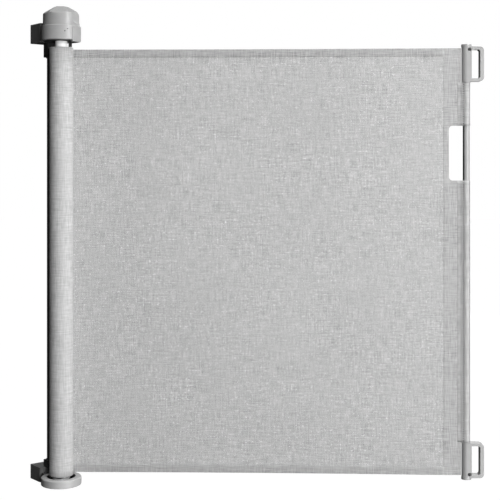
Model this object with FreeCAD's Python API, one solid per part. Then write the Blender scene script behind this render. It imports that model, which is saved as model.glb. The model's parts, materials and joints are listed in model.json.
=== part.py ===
import FreeCAD, Part
import math
import os

# Retractable mesh baby gate.
# Origin: on the roller's axis, at the underside of the bottom cup.
# +Z is up, +X runs from the roller to the handle, and the front faces -Y.
# Lengths are in mm and angles in degrees.

V = FreeCAD.Vector
UP = V(0, 0, 1)

# ---- the mesh and its roll ----
mesh_height = 840.0
mesh_bottom = 17.4
mesh_top = mesh_bottom + mesh_height
mesh_thick = 0.9
hem_height = 16.0
hem_thick = 1.6
roll_radius = 23.5
tube_radius = 17.0
tube_bore = 14.5
key_half_width = 1.6
key_depth = 1.5
sheet_leaves_y = roll_radius + 0.8  # the sheet leaves the back of the roll
sheet_start = 1.5
hem_start = 26.0  # the hems are thicker, so they start clear of the roll

# ---- handle ----
rod_x = 797.0
rod_radius = 6.8
rod_bore = 5.5
rod_bottom = 15.0
rod_top = 859.5
rod_plug_length = 24.0
sleeve_radius = 7.5
band_left = 752.0
band_thick = 2.0
hand_hole_left = 763.0
hand_hole_bottom = 597.0
hand_hole_top = 705.0
hand_hole_corner = 7.5
clip_radius = 9.4
clip_lip_radius = 9.9
clip_lip_height = 5.5
upper_clip_bottom = 790.0
upper_clip_top = 864.5
lower_clip_bottom = 10.0
lower_clip_top = 82.0
loop_right = 830.0
loop_inner_left = 806.0
loop_bar = 7.3  # the upright bar that the catch holds
loop_arm = 5.9  # the level arms above and below the window
loop_height = 68.5
upper_loop_rise = 1.5  # from the end of the upper clip to its loop
loop_outer_corner = 8.5
loop_window_corner = 4.0
clip_screw_angle = -64.0  # front right of the rod
clip_screw_inset = 10.5  # from each clip's outer end
clip_screw_head_radius = 3.0
clip_screw_recess_radius = 3.8  # the open well that the head sits in
clip_screw_seat = 8.8  # from the rod's axis to the floor of the well
clip_screw_shank_radius = 1.2

# ---- lock housing and knob ----
housing_radius = 38.6
housing_bore = 36.0
housing_bottom = 871.0
housing_top = 900.0
housing_top_bevel = 1.1
housing_low_round = 1.5
housing_pad = 0.7  # how far the pad stands out
housing_pad_start = -47.0
housing_pad_end = -9.0
housing_pad_bottom = 868.0
housing_pad_top = 896.0
floor_thick = 3.0
finger_near = 14.6  # the guide finger that hangs beside the roll's neck
finger_far = 21.0
finger_half_width = 2.6
finger_bottom = 860.0
post_radius = 2.6
post_places_radius = 33.2
small_screw_radius = 1.1
small_screw_head = 2.2
small_screw_head_depth = 1.2
housing_fixing_tip = 28.0  # how near the axis the housing's fixing screws reach
cup_fixing_tip = 22.0
finger_rounding = 1.2
crown_rounding = 3.0
shoulder_rounding = 3.5
post_angles = (75.0, 195.0, 315.0)
small_screw_top = 883.0
deck_bottom = 891.0
deck_top = 894.0
well_radius = 36.4
knob_radius = 35.8
knob_draft = 0.5
knob_skirt_bottom = 899.4
knob_top = 938.4
knob_flat = 12.0  # axis to each edge of the flat on top
knob_slope = 33.0
knob_cavity = 31.0
knob_cavity_top = 914.0
knob_boss_radius = 9.0
thumb_face = 30.4  # roller axis to the flat that the thumb pushes
thumb_angle = -12.0
thumb_low = 911.5
thumb_scoop = 9.0  # radius of the hollow where the flat runs out over the skirt
stem_radius = 5.0
stem_top = 926.0
stem_square_half = 3.5
plunger_radius = 8.0
plunger_flat = 6.5
plunger_flange_radius = 12.0
plunger_bottom = 890.4
plunger_flange_bottom = 906.5
plunger_top = 909.0
return_spring_radius = 10.2
return_spring_wire = 0.7
return_spring_turns = 3.8
slide_gap = 0.3  # between pieces that slide or pass each other
run_gap = 0.05  # between a shaft and its bore

# ---- ratchet, pawl and cam ----
teeth = 8
wheel_tip = 17.0
wheel_root = 13.2
wheel_bottom = 874.6
wheel_top = 878.2
ratchet_screw_tip = 866.0
ratchet_screw_head_radius = 4.5
pawl_bottom = 875.0
pawl_top = 879.4
pivot_radius = 24.0  # roller axis to the pawl's pivot
pivot_angle = -30.0
pivot_pin_radius = 2.0
pivot_head_radius = 3.2
nose_angle = 62.0  # from the pivot, round the roller axis
nose_tip_radius = 14.3
arm_end_radius = 20.6
arm_half_width = 1.6
pawl_hub_radius = 4.2
tail_radius = 2.4
follower_offset = 8.0
follower_radius = 1.5
knob_turn_limit = 90.0
pawl_swing_limit = 12.0
cam_bottom = 887.5
cam_top = 890.0
cam_outer = 30.4
cam_hub_radius = 9.0
cam_sweep = 120.0
cam_screw_tip = 900.0
cam_screw_head_radius = 5.5
cam_screw_head_depth = 1.4

# ---- neck of the roll ----
collar_radius = 12.2
neck_radius = 6.0
bush_radius = 9.0
bush_flange = 1.5
bush_flange_thick = 0.4
seat_half = 4.0  # half the square that the ratchet wheel sits on
tube_top = 856.0
end_plug_length = 24.0

# ---- bottom cup and spring ----
cup_radius = 39.4
cup_height = 15.5
cup_recess_radius = 27.5
cup_floor = 6.0
cup_top_round = 2.4
cup_low_round = 1.6
cup_boss_top = 10.5
cup_boss_radius = 9.0
tube_bottom = 14.0
arbor_radius = 4.0
arbor_foot = 2.8
arbor_top = 222.0
drive_plug_bottom = 206.0
drive_plug_top = 226.0
spring_wire = 1.0
spring_radius = 10.0
spring_turns = 25
spring_foot = 54.0
spring_collar_bottom = 46.0
spring_collar_radius = 9.0
washer_top = 12.3
arbor_seat_bottom = 4.0

# ---- wall side: +X of these pieces is turned to point at the wall ----
wall_angle = 128.5
block_near = 34.0
block_far = 76.0
block_half_width = 27.5
upper_block_top = 908.5
lower_block_top = 28.5
block_corner = 5.0
wall_hole_radius = 2.75
wall_hole_side = 20.5
wall_hole_head_radius = 5.5
wall_hole_head_depth = 6.0
screw_radius = 1.5
screw_head_radius = 3.0
upright_head_radius = 2.8
upright_head_depth = 1.6
housing_fixing_z = 886.0
housing_fixing_side = 8.0
cup_fixing_z = 11.0
cup_fixing_side = 9.0
fixing_head_depth = 1.8
housing_screw_seat = 36.0  # roller axis to the face that each head bears on
cup_screw_seat = 30.4
fixing_tip = 56.0
clamp_screw_side = 8.0
clamp_screw_out = 41.5
upper_clamp_screw_tip = 882.0
lower_clamp_screw_tip = 16.0
spine_near = 29.5
spine_depth = 7.0
spine_half_width = 12.0
spine_wall = 2.0
clamp_near = 27.5
clamp_far = 46.0
clamp_half_width = 15.0
clamp_corner = 2.0
upper_clamp_bottom = 842.0
lower_clamp_top = 42.0
spine_screw_out = 34.0
spine_screw_length = 9.0
upper_spine_screw_z = 856.0
lower_spine_screw_z = 35.0


# ---- small helpers ----
def cyl(radius, z0, z1, x=0.0, y=0.0):
    return Part.makeCylinder(radius, z1 - z0, V(x, y, z0))


def rod_along(radius, start, end):
    way = end.sub(start)
    return Part.makeCylinder(radius, way.Length, start, way)


def tube(outer, inner, z0, z1, x=0.0, y=0.0):
    return cyl(outer, z0, z1, x, y).cut(cyl(inner, z0 - 1, z1 + 1, x, y))


def box(x0, x1, y0, y1, z0, z1):
    return Part.makeBox(x1 - x0, y1 - y0, z1 - z0, V(x0, y0, z0))


def polar(radius, angle, z=0.0):
    a = math.radians(angle)
    return V(radius * math.cos(a), radius * math.sin(a), z)


def prism(points, z0, z1):
    """A straight prism on a closed outline of (x, y) points."""
    corners = [V(x, y, z0) for x, y in points]
    face = Part.Face(Part.makePolygon(corners + corners[:1]))
    return face.extrude(V(0, 0, z1 - z0))


def turned(shape, angle, about=V(0, 0, 0)):
    copy = shape.copy()
    copy.rotate(about, UP, angle)
    return copy


def sector(inner, outer, angle0, angle1, z0, z1):
    """A ring sector about the roller axis."""
    whole = Part.makeCylinder(outer, z1 - z0, V(0, 0, z0), UP, angle1 - angle0)
    return turned(whole, angle0).cut(cyl(inner, z0 - 1, z1 + 1))


def helix(radius, wire, z0, z1, turns):
    """A round wire wound about the roller axis between two heights."""
    low = z0 + wire
    high = z1 - wire
    path = Part.makeHelix((high - low) / turns, high - low, radius)
    path.translate(V(0, 0, low))
    ring = Part.Wire(Part.makeCircle(wire, V(radius, 0, low), V(0, 1, 0)))
    return Part.Wire(path).makePipeShell([ring], True, True)


def edges_where(shape, wanted):
    return [e for e in shape.Edges if wanted(e.BoundBox)]


def to_wall(shape):
    return turned(shape, wall_angle)


def save(name, *solids):
    shape = solids[0] if len(solids) == 1 else Part.makeCompound(list(solids))
    shape.exportStep("parts/" + name + ".step")
    print(name, len(shape.Solids), "solid(s)", shape.isValid(), round(shape.Volume), flush=True)


# ---- wall side ----
def wall_holes(z):
    cuts = []
    for side in (-wall_hole_side, wall_hole_side):
        cuts.append(rod_along(wall_hole_radius, V(block_near - 5, side, z), V(block_far + 5, side, z)))
        head_end = block_near + wall_hole_head_depth
        cuts.append(rod_along(wall_hole_head_radius, V(block_near - 5, side, z), V(head_end, side, z)))
    return cuts


def fixing_hole(start, end, side, z):
    return rod_along(screw_radius, V(start, side, z), V(end, side, z))


def wall_block(z0, z1, saddle_radius, fixing_z, fixing_side, clamp_hole_z0, clamp_hole_z1):
    """A moulded block between the wall and the housing or the cup, saddled onto it."""
    block = box(block_near, block_far, -block_half_width, block_half_width, z0, z1)
    upright = edges_where(block, lambda b: b.ZLength > z1 - z0 - 1 and b.XMax < block_near + 1)
    block = block.makeFillet(block_corner, upright)
    block = block.cut(cyl(saddle_radius, z0 - 1, z1 + 1))
    for cut in wall_holes((z0 + z1) / 2):
        block = block.cut(cut)
    for side in (-fixing_side, fixing_side):
        block = block.cut(fixing_hole(block_near - 4, fixing_tip, side, fixing_z))
    for side in (-clamp_screw_side, clamp_screw_side):
        block = block.cut(cyl(screw_radius, clamp_hole_z0, clamp_hole_z1, clamp_screw_out, side))
    return to_wall(block)


def spine_section(z0, z1):
    """A channel whose web faces the roll and whose mouth faces the wall."""
    far = spine_near + spine_depth
    outer = box(spine_near, far, -spine_half_width, spine_half_width, z0, z1)
    inner_half = spine_half_width - spine_wall
    inner = box(spine_near + spine_wall, far + 1, -inner_half, inner_half, z0 - 1, z1 + 1)
    return outer.cut(inner)


def clamp(z0, z1, screw_z):
    """A moulded clamp that holds one end of the spine against a wall block."""
    body = box(clamp_near, clamp_far, -clamp_half_width, clamp_half_width, z0, z1)
    upright = edges_where(body, lambda b: b.ZLength > z1 - z0 - 1)
    body = body.makeFillet(clamp_corner, upright)
    body = body.cut(spine_section(z0 - 1, z1 + 1))
    for side in (-clamp_screw_side, clamp_screw_side):
        body = body.cut(cyl(screw_radius, z0 - 1, z1 + 1, clamp_screw_out, side))
    return to_wall(body.cut(spine_screw(screw_z)))


def spine_screw(z):
    """A cross screw through the clamp's side and the channel's flange."""
    start = V(spine_screw_out, -clamp_half_width, z)
    shank = rod_along(screw_radius, start, V(spine_screw_out, spine_screw_length - clamp_half_width, z))
    head = rod_along(upright_head_radius, V(spine_screw_out, -clamp_half_width - small_screw_head_depth, z), start)
    return shank.fuse(head)


def clamp_screw(side, head_z, tip_z):
    """A screw driven straight up or down through a clamp, with its head at head_z."""
    up = 1 if tip_z > head_z else -1
    seat = V(clamp_screw_out, side, head_z)
    shank = rod_along(screw_radius, seat, V(clamp_screw_out, side, tip_z))
    head = rod_along(upright_head_radius, V(clamp_screw_out, side, head_z - upright_head_depth * up), seat)
    return to_wall(shank.fuse(head))


def fixing_screw(head_near, side, z):
    """A screw from inside the housing or the cup, through its wall into the block."""
    seat = V(head_near + fixing_head_depth, side, z)
    head = rod_along(screw_head_radius, V(head_near, side, z), seat)
    return to_wall(head.fuse(rod_along(screw_radius, seat, V(fixing_tip, side, z))))


def build_wall_side():
    save("upper_wall_block", wall_block(housing_bottom, upper_block_top, housing_radius, housing_fixing_z,
                                        housing_fixing_side, housing_bottom - 1, upper_clamp_screw_tip))
    save("lower_wall_block", wall_block(0.0, lower_block_top, cup_radius, cup_fixing_z,
                                        cup_fixing_side, lower_clamp_screw_tip, lower_block_top + 1))
    channel = to_wall(spine_section(lower_block_top, housing_bottom))
    cross = [to_wall(spine_screw(z)) for z in (upper_spine_screw_z, lower_spine_screw_z)]
    for screw in cross:
        channel = channel.cut(screw)
    save("rear_spine", channel)
    save("upper_spine_clamp", clamp(upper_clamp_bottom, housing_bottom, upper_spine_screw_z))
    save("lower_spine_clamp", clamp(lower_block_top, lower_clamp_top, lower_spine_screw_z))
    save("spine_screws", *cross)
    clamp_screws = []
    housing_screws = []
    cup_screws = []
    for side in (-1, 1):
        clamp_screws.append(clamp_screw(clamp_screw_side * side, upper_clamp_bottom, upper_clamp_screw_tip))
        clamp_screws.append(clamp_screw(clamp_screw_side * side, lower_clamp_top, lower_clamp_screw_tip))
        housing_screws.append(fixing_screw(housing_screw_seat - fixing_head_depth, housing_fixing_side * side,
                                           housing_fixing_z))
        cup_screws.append(fixing_screw(cup_screw_seat - fixing_head_depth, cup_fixing_side * side,
                                       cup_fixing_z))
    save("clamp_screws", *clamp_screws)
    save("housing_fixing_screws", *housing_screws)
    save("cup_fixing_screws", *cup_screws)


# ---- lock housing ----
def post_places():
    return [polar(post_places_radius, angle) for angle in post_angles]


def lock_housing():
    shell = cyl(housing_radius, housing_bottom, housing_top)
    rim = edges_where(shell, lambda b: b.ZMin > housing_top - 0.1 and b.ZLength < 0.1)
    shell = shell.makeChamfer(housing_top_bevel, rim)
    low_rim = edges_where(shell, lambda b: b.ZMax < housing_bottom + 0.1)
    shell = shell.makeFillet(housing_low_round, low_rim)
    shell = shell.fuse(sector(housing_bore + 0.2, housing_radius + housing_pad, housing_pad_start,
                              housing_pad_end, housing_pad_bottom, housing_pad_top))
    shell = shell.cut(cyl(housing_bore, housing_pad_bottom - 1, deck_bottom))
    shell = shell.cut(cyl(well_radius, deck_top, housing_top + 1))
    shell = shell.cut(plunger_section(slide_gap, deck_bottom - 1, deck_top + 1))
    for place in post_places():
        shell = shell.fuse(cyl(post_radius, housing_bottom + floor_thick, deck_bottom, place.x, place.y))
        shell = shell.cut(cyl(small_screw_radius, housing_bottom, small_screw_top, place.x, place.y))
    for side in (-housing_fixing_side, housing_fixing_side):
        start = V(housing_fixing_tip, side, housing_fixing_z)
        spot = rod_along(screw_head_radius + 0.2, start, V(housing_screw_seat, side, housing_fixing_z))
        hole = fixing_hole(housing_fixing_tip, housing_radius + 3, side, housing_fixing_z)
        shell = shell.cut(to_wall(spot.fuse(hole)))
    return shell.removeSplitter()


def floor_plate():
    under = housing_bottom - 1
    over = housing_bottom + floor_thick + 1
    plate = cyl(housing_bore - 0.1, housing_bottom, housing_bottom + floor_thick)
    plate = plate.cut(cyl(bush_radius, under, over))
    finger = box(finger_near, finger_far, -finger_half_width, finger_half_width, finger_bottom, housing_bottom + 1)
    upright = edges_where(finger, lambda b: b.ZLength > 5)
    plate = plate.fuse(finger.makeFillet(finger_rounding, upright))
    pivot = polar(pivot_radius, pivot_angle)
    plate = plate.cut(cyl(pivot_pin_radius, under, over, pivot.x, pivot.y))
    for place in post_places():
        plate = plate.cut(cyl(small_screw_radius, under, over, place.x, place.y))
        plate = plate.cut(cyl(small_screw_head, under, housing_bottom + small_screw_head_depth, place.x, place.y))
    return plate.removeSplitter()


def floor_screws():
    screws = []
    for place in post_places():
        head = cyl(small_screw_head, housing_bottom, housing_bottom + small_screw_head_depth, place.x, place.y)
        screws.append(head.fuse(cyl(small_screw_radius, housing_bottom, small_screw_top, place.x, place.y)))
    return screws


def upper_bush():
    plate_top = housing_bottom + floor_thick
    body = cyl(bush_radius, housing_bottom, plate_top)
    body = body.fuse(cyl(bush_radius + bush_flange, plate_top, plate_top + bush_flange_thick))
    return body.cut(cyl(neck_radius + run_gap, housing_bottom - 1, wheel_top)).removeSplitter()


def pawl_pin():
    pivot = polar(pivot_radius, pivot_angle)
    head_bottom = pawl_top + 0.4
    pin = cyl(pivot_pin_radius, housing_bottom, head_bottom, pivot.x, pivot.y)
    return pin.fuse(cyl(pivot_head_radius, head_bottom, head_bottom + 0.8, pivot.x, pivot.y))


def build_housing():
    save("lock_housing", lock_housing())
    save("housing_floor_plate", floor_plate())
    save("floor_plate_screws", *floor_screws())
    save("upper_bearing_bush", upper_bush())
    save("pawl_pin", pawl_pin())


# ---- lock knob, plunger, cam, pawl and ratchet wheel ----
def knob_crown():
    """Six slanted faces round a flat, one of them facing front."""
    low = knob_skirt_bottom + 5
    spread = (knob_top - low) / math.tan(math.radians(knob_slope))
    outlines = []
    for apothem, z in ((knob_flat, knob_top), (knob_flat + spread, low)):
        reach = apothem / math.cos(math.radians(30))
        corners = [polar(reach, 60 * n, z) for n in range(6)]
        outlines.append(Part.makePolygon(corners + corners[:1]))
    crown = Part.makeLoft(outlines, True, True)
    return crown.makeFillet(crown_rounding, edges_where(crown, lambda b: b.ZMax > knob_top - 0.1))


def thumb_cut():
    """What is cut from the knob's side: an upright flat that runs out over the skirt in a hollow."""
    wide = knob_radius
    flat = box(thumb_face, 2 * knob_radius, -wide, wide, thumb_low, knob_top + 5)
    hollow = rod_along(thumb_scoop, V(thumb_face + thumb_scoop, -wide, thumb_low),
                       V(thumb_face + thumb_scoop, wide, thumb_low))
    return turned(flat.fuse(hollow), thumb_angle)


def knob_hollow():
    """The room inside the knob, flattened behind the thumb's flat, round the boss that takes the stem."""
    wall = 2.6
    room = cyl(knob_cavity, knob_skirt_bottom - 1, knob_cavity_top)
    room = room.fuse(Part.makeCone(knob_cavity, 10, 17, V(0, 0, knob_cavity_top)))
    beyond = box(thumb_face - wall, 2 * knob_radius, -knob_radius, knob_radius, thumb_low - thumb_scoop, knob_top)
    room = room.cut(turned(beyond, thumb_angle))
    return room.cut(cyl(knob_boss_radius, plunger_top + slide_gap, knob_top))


def lock_knob():
    body = Part.makeCone(knob_radius, knob_radius - knob_draft, knob_top - knob_skirt_bottom,
                         V(0, 0, knob_skirt_bottom))
    below = cyl(60, knob_skirt_bottom - 5, knob_skirt_bottom + 6)
    body = body.common(knob_crown().fuse(below)).removeSplitter()
    shoulder = edges_where(body, lambda b: b.ZMin > 915 and b.ZMax < 932)
    body = body.makeFillet(shoulder_rounding, shoulder)
    body = body.cut(thumb_cut())
    body = body.cut(knob_hollow())
    return body.cut(cyl(stem_radius, plunger_top, stem_top))


def stem_square(half, z0, z1):
    return box(-half, half, -half, half, z0, z1)


def knob_stem():
    shaft = cyl(stem_radius, cam_top, stem_top)
    shaft = shaft.fuse(stem_square(stem_square_half, cam_bottom, cam_top))
    return shaft.cut(cyl(screw_radius, cam_bottom - 1, cam_screw_tip))


def plunger_section(grow, z0, z1):
    flat = plunger_flat + grow
    sides = box(-20, 20, -flat, flat, z0, z1)
    return cyl(plunger_radius + grow, z0, z1).common(sides)


def lock_plunger():
    body = plunger_section(0, plunger_bottom, plunger_flange_bottom)
    body = body.fuse(cyl(plunger_flange_radius, plunger_flange_bottom, plunger_top))
    return body.cut(cyl(stem_radius + run_gap, 880, 915)).removeSplitter()


def pawl_swung(shape, swing):
    return turned(shape, swing, polar(pivot_radius, pivot_angle))


def follower_place():
    """The follower's place on the unlocked pawl, beside its pivot."""
    beside = polar(follower_offset, pivot_angle - 90)
    return polar(pivot_radius, pivot_angle).add(beside)


def follower_track(steps=12):
    """Where the follower runs in the turning cam, as points on the cam."""
    track = []
    for n in range(steps + 1):
        share = n / steps
        led = FreeCAD.Rotation(UP, pawl_swing_limit * share)
        pivot = polar(pivot_radius, pivot_angle)
        place = pivot.add(led.multVec(follower_place().sub(pivot)))
        track.append(FreeCAD.Rotation(UP, -knob_turn_limit * share).multVec(place))
    return track


def cam_plate():
    """A sector on the knob's stem, with the slot that leads the pawl's follower."""
    start = pivot_angle - cam_sweep - 7
    plate = sector(3.0, cam_outer, start, start + cam_sweep, cam_bottom, cam_top)
    plate = plate.fuse(cyl(cam_hub_radius, cam_bottom, cam_top))
    plate = plate.cut(stem_square(stem_square_half, cam_bottom - 1, cam_top + 1))
    half = follower_radius + slide_gap
    track = follower_track()
    outer = [V(p).multiply(1 + half / p.Length) for p in track]
    inner = [V(p).multiply(1 - half / p.Length) for p in reversed(track)]
    slot = prism([(p.x, p.y) for p in outer + inner], cam_bottom - 1, cam_top + 1)
    for end in (track[0], track[-1]):
        slot = slot.fuse(cyl(half, cam_bottom - 1, cam_top + 1, end.x, end.y))
    return plate.cut(slot)


def cam_screw():
    head = cyl(cam_screw_head_radius, cam_bottom - cam_screw_head_depth, cam_bottom)
    return head.fuse(cyl(screw_radius, cam_bottom, cam_screw_tip))


def lock_pawl():
    """Drawn in mesh with the wheel, then swung back to its unlocked place."""
    pivot = polar(pivot_radius, pivot_angle)
    arm_end = polar(arm_end_radius, pivot_angle + nose_angle - 2)
    along = arm_end.sub(pivot).normalize()
    across = V(-along.y, along.x, 0).multiply(arm_half_width)
    arm = [pivot.add(across), pivot.sub(across), arm_end.sub(across), arm_end.add(across)]
    body = prism([(p.x, p.y) for p in arm], pawl_bottom, pawl_top)
    nose = [polar(arm_end_radius + 1.2, pivot_angle + nose_angle - 8),
            polar(nose_tip_radius, pivot_angle + nose_angle - 4.5),
            polar(nose_tip_radius, pivot_angle + nose_angle + 4.5),
            polar(arm_end_radius + 1.2, pivot_angle + nose_angle + 4.0)]
    body = body.fuse(prism([(p.x, p.y) for p in nose], pawl_bottom, pawl_top))
    body = body.fuse(cyl(pawl_hub_radius, pawl_bottom, pawl_top, pivot.x, pivot.y))
    body = pawl_swung(body, -pawl_swing_limit)
    place = follower_place()
    tail = place.sub(pivot).normalize()
    side = V(-tail.y, tail.x, 0).multiply(tail_radius)
    stub = [pivot.add(side), pivot.sub(side), place.sub(side), place.add(side)]
    body = body.fuse(prism([(p.x, p.y) for p in stub], pawl_bottom, pawl_top))
    body = body.fuse(cyl(tail_radius, pawl_bottom, pawl_top, place.x, place.y))
    body = body.fuse(cyl(follower_radius, pawl_top - 1, cam_top - 0.2, place.x, place.y))
    return body.cut(cyl(pivot_pin_radius + run_gap, 870, 890, pivot.x, pivot.y)).removeSplitter()


def ratchet_wheel():
    """Eight teeth whose steep faces stop the roll paying out."""
    pitch = 360 / teeth
    outline = []
    for n in range(teeth):
        gap = pivot_angle + nose_angle + n * pitch
        for radius, angle in ((wheel_root, 12), (wheel_tip, 14), (wheel_tip, 20), (wheel_root, pitch - 12)):
            point = polar(radius, gap + angle)
            outline.append((point.x, point.y))
    wheel = prism(outline, wheel_bottom, wheel_top)
    return wheel.cut(stem_square(seat_half, wheel_bottom - 1, wheel_top + 1))


def ratchet_screw():
    head = cyl(ratchet_screw_head_radius, wheel_top, wheel_top + upright_head_depth)
    return head.fuse(cyl(screw_radius, ratchet_screw_tip, wheel_top))


def build_lock():
    save("lock_knob", lock_knob())
    save("knob_stem", knob_stem())
    save("lock_plunger", lock_plunger())
    save("knob_return_spring", helix(return_spring_radius, return_spring_wire, deck_top + 0.1,
                                     plunger_flange_bottom - 0.1, return_spring_turns))
    save("cam_plate", cam_plate())
    save("cam_screw", cam_screw())
    save("lock_pawl", lock_pawl())
    save("ratchet_wheel", ratchet_wheel())
    save("ratchet_screw", ratchet_screw())


# ---- roll ----
def tube_screw_shapes():
    screws = []
    for z in (tube_top - 11.0, tube_bottom + 14.0):
        for side in (-1, 1):
            screws.append(rod_along(screw_radius, V(8.0 * side, 0, z), V((tube_radius - 0.4) * side, 0, z)))
    return screws


def key_groove(z0, z1):
    return box(-key_half_width, key_half_width, -tube_radius - 1, -tube_radius + key_depth, z0, z1)


def core_tube():
    body = tube(tube_radius, tube_bore, tube_bottom, tube_top)
    return body.cut(key_groove(mesh_bottom, tube_top + 1))


def key_strip():
    return key_groove(mesh_bottom, tube_top).common(cyl(tube_radius - 0.1, mesh_bottom, tube_top))


def upper_end_plug():
    collar_top = housing_bottom - slide_gap
    body = cyl(tube_bore, tube_top - end_plug_length, tube_top)
    body = body.fuse(cyl(tube_radius - 0.2, tube_top, tube_top + 1))
    body = body.fuse(cyl(collar_radius, tube_top + 1, collar_top))
    body = body.fuse(cyl(neck_radius, collar_top, wheel_bottom))
    body = body.fuse(stem_square(seat_half, wheel_bottom, wheel_top))
    return body.cut(cyl(screw_radius, ratchet_screw_tip, wheel_top + 1)).removeSplitter()


def lower_end_plug():
    body = cyl(tube_bore, tube_bottom, tube_bottom + end_plug_length)
    body = body.fuse(cyl(tube_radius, tube_bottom - 1.5, tube_bottom))
    return body.cut(cyl(arbor_radius + run_gap, 0, arbor_top)).removeSplitter()


def without(body, cutters):
    for cutter in cutters:
        body = body.cut(cutter)
    return body


def build_roll():
    screws = tube_screw_shapes()
    save("core_tube", without(core_tube(), screws))
    save("mesh_key_strip", key_strip())
    save("wound_mesh", tube(roll_radius, tube_radius, mesh_bottom, mesh_top + 0.6))
    save("upper_end_plug", without(upper_end_plug(), screws))
    save("lower_end_plug", without(lower_end_plug(), screws))
    save("tube_screws", *screws)
    save("spring_drive_plug", tube(tube_bore, arbor_radius + run_gap, drive_plug_bottom, drive_plug_top))
    save("roller_spring", helix(spring_radius, spring_wire, spring_foot, drive_plug_bottom, spring_turns))


# ---- bottom cup and spring arbor ----
def bottom_cup():
    body = cyl(cup_radius, 0, cup_height)
    top_rim = edges_where(body, lambda b: b.ZMin > cup_height - 0.1 and b.ZLength < 0.1)
    body = body.makeFillet(cup_top_round, top_rim)
    low_rim = edges_where(body, lambda b: b.ZMax < 0.1)
    body = body.makeFillet(cup_low_round, low_rim)
    body = body.cut(tube(cup_recess_radius, cup_boss_radius, cup_floor, cup_height + 1))
    body = body.cut(cyl(cup_boss_radius + 0.1, cup_boss_top, cup_height + 1))
    body = body.cut(stem_square(arbor_foot, arbor_seat_bottom, cup_height + 1))
    for side in (-cup_fixing_side, cup_fixing_side):
        start = V(cup_fixing_tip, side, cup_fixing_z)
        head_room = rod_along(screw_head_radius + 0.2, start, V(cup_screw_seat, side, cup_fixing_z))
        hole = fixing_hole(cup_fixing_tip, cup_radius + 4, side, cup_fixing_z)
        body = body.cut(to_wall(head_room.fuse(hole)))
    return body


def spring_arbor():
    foot = stem_square(arbor_foot, arbor_seat_bottom, cup_boss_top)
    return foot.fuse(cyl(arbor_radius, cup_boss_top, arbor_top))


def build_bottom():
    save("bottom_cup", bottom_cup())
    save("spring_arbor", spring_arbor())
    save("thrust_washer", tube(cup_boss_radius, arbor_radius, cup_boss_top, washer_top))
    save("arbor_spring_collar", tube(spring_collar_radius, arbor_radius, spring_collar_bottom, spring_foot))


# ---- mesh sheet and handle ----
def sheet_y(x):
    return sheet_leaves_y * (1 - x / rod_x)


def sheet_prism(x0, x1, thick, z0, z1):
    """A flat stretch of the sheet, which runs straight from the roll to the rod."""
    half = thick / 2
    points = [(x0, sheet_y(x0) - half), (x1, sheet_y(x1) - half),
              (x1, sheet_y(x1) + half), (x0, sheet_y(x0) + half)]
    return prism(points, z0, z1)


def mesh_panel():
    end = band_left - 0.2
    panel = sheet_prism(sheet_start, end, mesh_thick, mesh_bottom, mesh_top)
    panel = panel.fuse(sheet_prism(hem_start, end, hem_thick, mesh_bottom, mesh_bottom + hem_height))
    panel = panel.fuse(sheet_prism(hem_start, end, hem_thick, mesh_top - hem_height, mesh_top))
    return panel.removeSplitter()


def mesh_band():
    over = mesh_top + 10
    deep = 20.0  # past both faces of the band
    right = rod_x + deep
    band = sheet_prism(band_left, rod_x, band_thick, mesh_bottom, mesh_top)
    band = band.cut(cyl(sleeve_radius, 0, over, rod_x, 0))
    clip_room = rod_x - clip_lip_radius - 0.5
    for low, high in ((0, lower_clip_top + slide_gap), (upper_clip_bottom - slide_gap, over)):
        band = band.cut(box(clip_room, right, -deep, deep, low, high))
    band = band.cut(box(rod_x, right, -deep, deep, 0, over))
    hole = box(hand_hole_left, right, -deep, deep, hand_hole_bottom, hand_hole_top)
    corners = edges_where(hole, lambda b: b.YLength > 30 and b.XMax < hand_hole_left + 1)
    return band.cut(hole.makeFillet(hand_hole_corner, corners))


def rod_sleeve(z0, z1):
    return tube(sleeve_radius, rod_radius, z0, z1, rod_x, 0)


def clip_screw(z):
    """A short screw through the clip and the rod's wall into the end plug, its head sunk in the clip."""
    facing = polar(1.0, clip_screw_angle)
    axis = V(rod_x, 0, z)
    tip = axis.add(V(facing).multiply(1.5))
    seat = axis.add(V(facing).multiply(clip_screw_seat))
    face = axis.add(V(facing).multiply(clip_lip_radius + 0.3))
    shank = rod_along(clip_screw_shank_radius, tip, seat)
    return shank.fuse(rod_along(clip_screw_head_radius, seat, face))


def clip_screw_well(z):
    """The open well through which a clip screw is driven."""
    facing = polar(1.0, clip_screw_angle)
    axis = V(rod_x, 0, z)
    floor = axis.add(V(facing).multiply(clip_screw_seat))
    mouth = axis.add(V(facing).multiply(2 * clip_radius))
    return rod_along(clip_screw_recess_radius, floor, mouth)


def catch_loop(z0):
    """The D loop that hooks onto a wall catch."""
    z1 = z0 + loop_height
    loop = box(rod_x, loop_right, -clip_radius, clip_radius, z0, z1)
    corners = edges_where(loop, lambda b: b.YLength > 15 and b.XMin > loop_right - 1)
    loop = loop.makeFillet(loop_outer_corner, corners)
    bar_left = loop_right - loop_bar
    window = box(loop_inner_left, bar_left, -20, 20, z0 + loop_arm, z1 - loop_arm)
    inner = edges_where(window, lambda b: b.YLength > 30 and b.XMin > bar_left - 1)
    return loop.cut(window.makeFillet(loop_window_corner, inner))


def end_clip(z0, z1, lip0, lip1, loop0, rod_stop0, rod_stop1, screw_z):
    """A moulded end cap for the rod."""
    body = cyl(clip_radius, z0, z1, rod_x, 0).fuse(cyl(clip_lip_radius, lip0, lip1, rod_x, 0))
    body = body.fuse(catch_loop(loop0)).removeSplitter()
    body = body.cut(cyl(rod_radius, rod_stop0, rod_stop1, rod_x, 0))
    return body.cut(clip_screw(screw_z)).cut(clip_screw_well(screw_z))


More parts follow.
